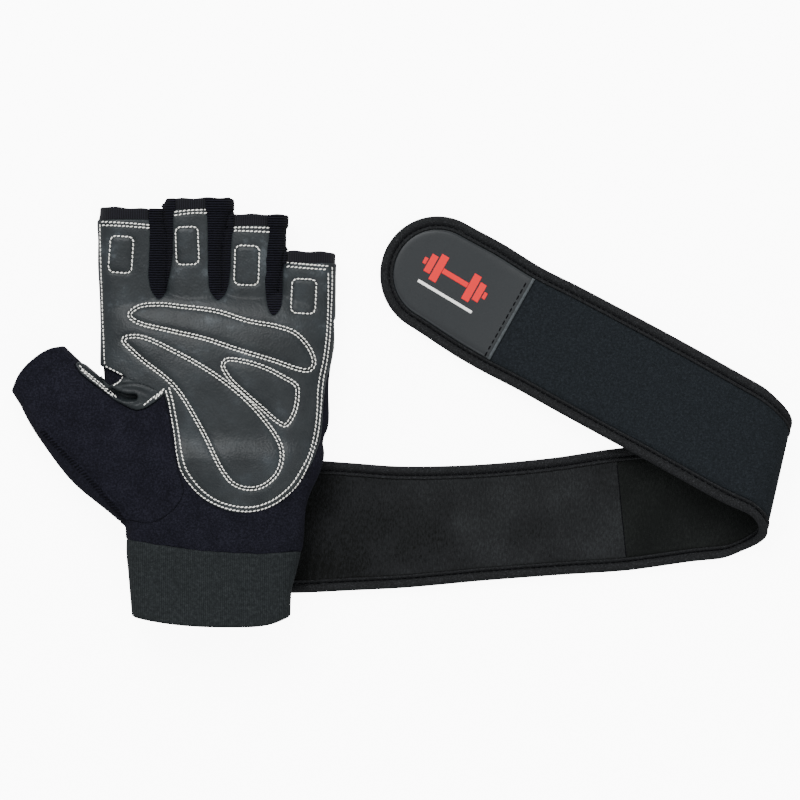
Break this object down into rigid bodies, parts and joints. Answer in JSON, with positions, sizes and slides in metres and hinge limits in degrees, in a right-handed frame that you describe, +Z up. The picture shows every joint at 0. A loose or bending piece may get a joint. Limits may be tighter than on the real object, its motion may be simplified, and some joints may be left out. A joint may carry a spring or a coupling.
{
  "type": "weightlifting glove",
  "caption": "Half-finger weightlifting glove, palm up, with padded leather palm, elastic cuff and a long wrist strap folded back once beside it.",
  "frame": {"origin": "on the flat underside of the back of the hand, under the middle of the palm, at the height of the surface it lies on", "axes": "+X across the hand to the little finger and along the strap, +Y from wrist to fingers, +Z up out of the palm"},
  "size_m": [0.3348, 0.1842, 0.0315],
  "materials": {
    "leather": "fine-grained synthetic leather, satin, light scuffs",
    "pad_leather": "the same leather over thin foam",
    "stretch_fabric": "blue-black knitted stretch fabric, matt",
    "ribbed_knit": "ribbed knit, matt",
    "hem_elastic": "woven elastic, matt",
    "cuff_elastic": "dark grey-green woven elastic with lengthwise cords",
    "neoprene": "nylon loop cloth on neoprene, slightly fuzzy",
    "binding_tape": "folded woven tape",
    "tip_patch": "smooth moulded patch, satin",
    "hook_tape": "hook tape"
  },
  "bodies": {
    "root": {"palm_leather": "leather", "thumb_gusset": "leather", "thumb_stall": "stretch_fabric", "heel_fabric": "stretch_fabric", "back_panel": "stretch_fabric", "thumb_back": "stretch_fabric", "fourchette_index_middle": "ribbed_knit", "fourchette_middle_ring": "ribbed_knit", "fourchette_ring_little": "ribbed_knit", "finger_hem_index": "hem_elastic", "finger_hem_middle": "hem_elastic", "finger_hem_ring": "hem_elastic", "finger_hem_little": "hem_elastic", "cuff_band": "cuff_elastic", "palm_pad_upper": "pad_leather", "palm_pad_heel": "pad_leather", "palm_pad_side": "pad_leather", "finger_pad_index": "pad_leather", "finger_pad_middle": "pad_leather", "finger_pad_ring": "pad_leather", "finger_pad_little": "pad_leather", "strap_base": "neoprene", "strap_band": "neoprene", "strap_binding": "binding_tape", "strap_tip_patch": "tip_patch", "strap_hook_pad": "hook_tape"}
  },
  "joints": []
}
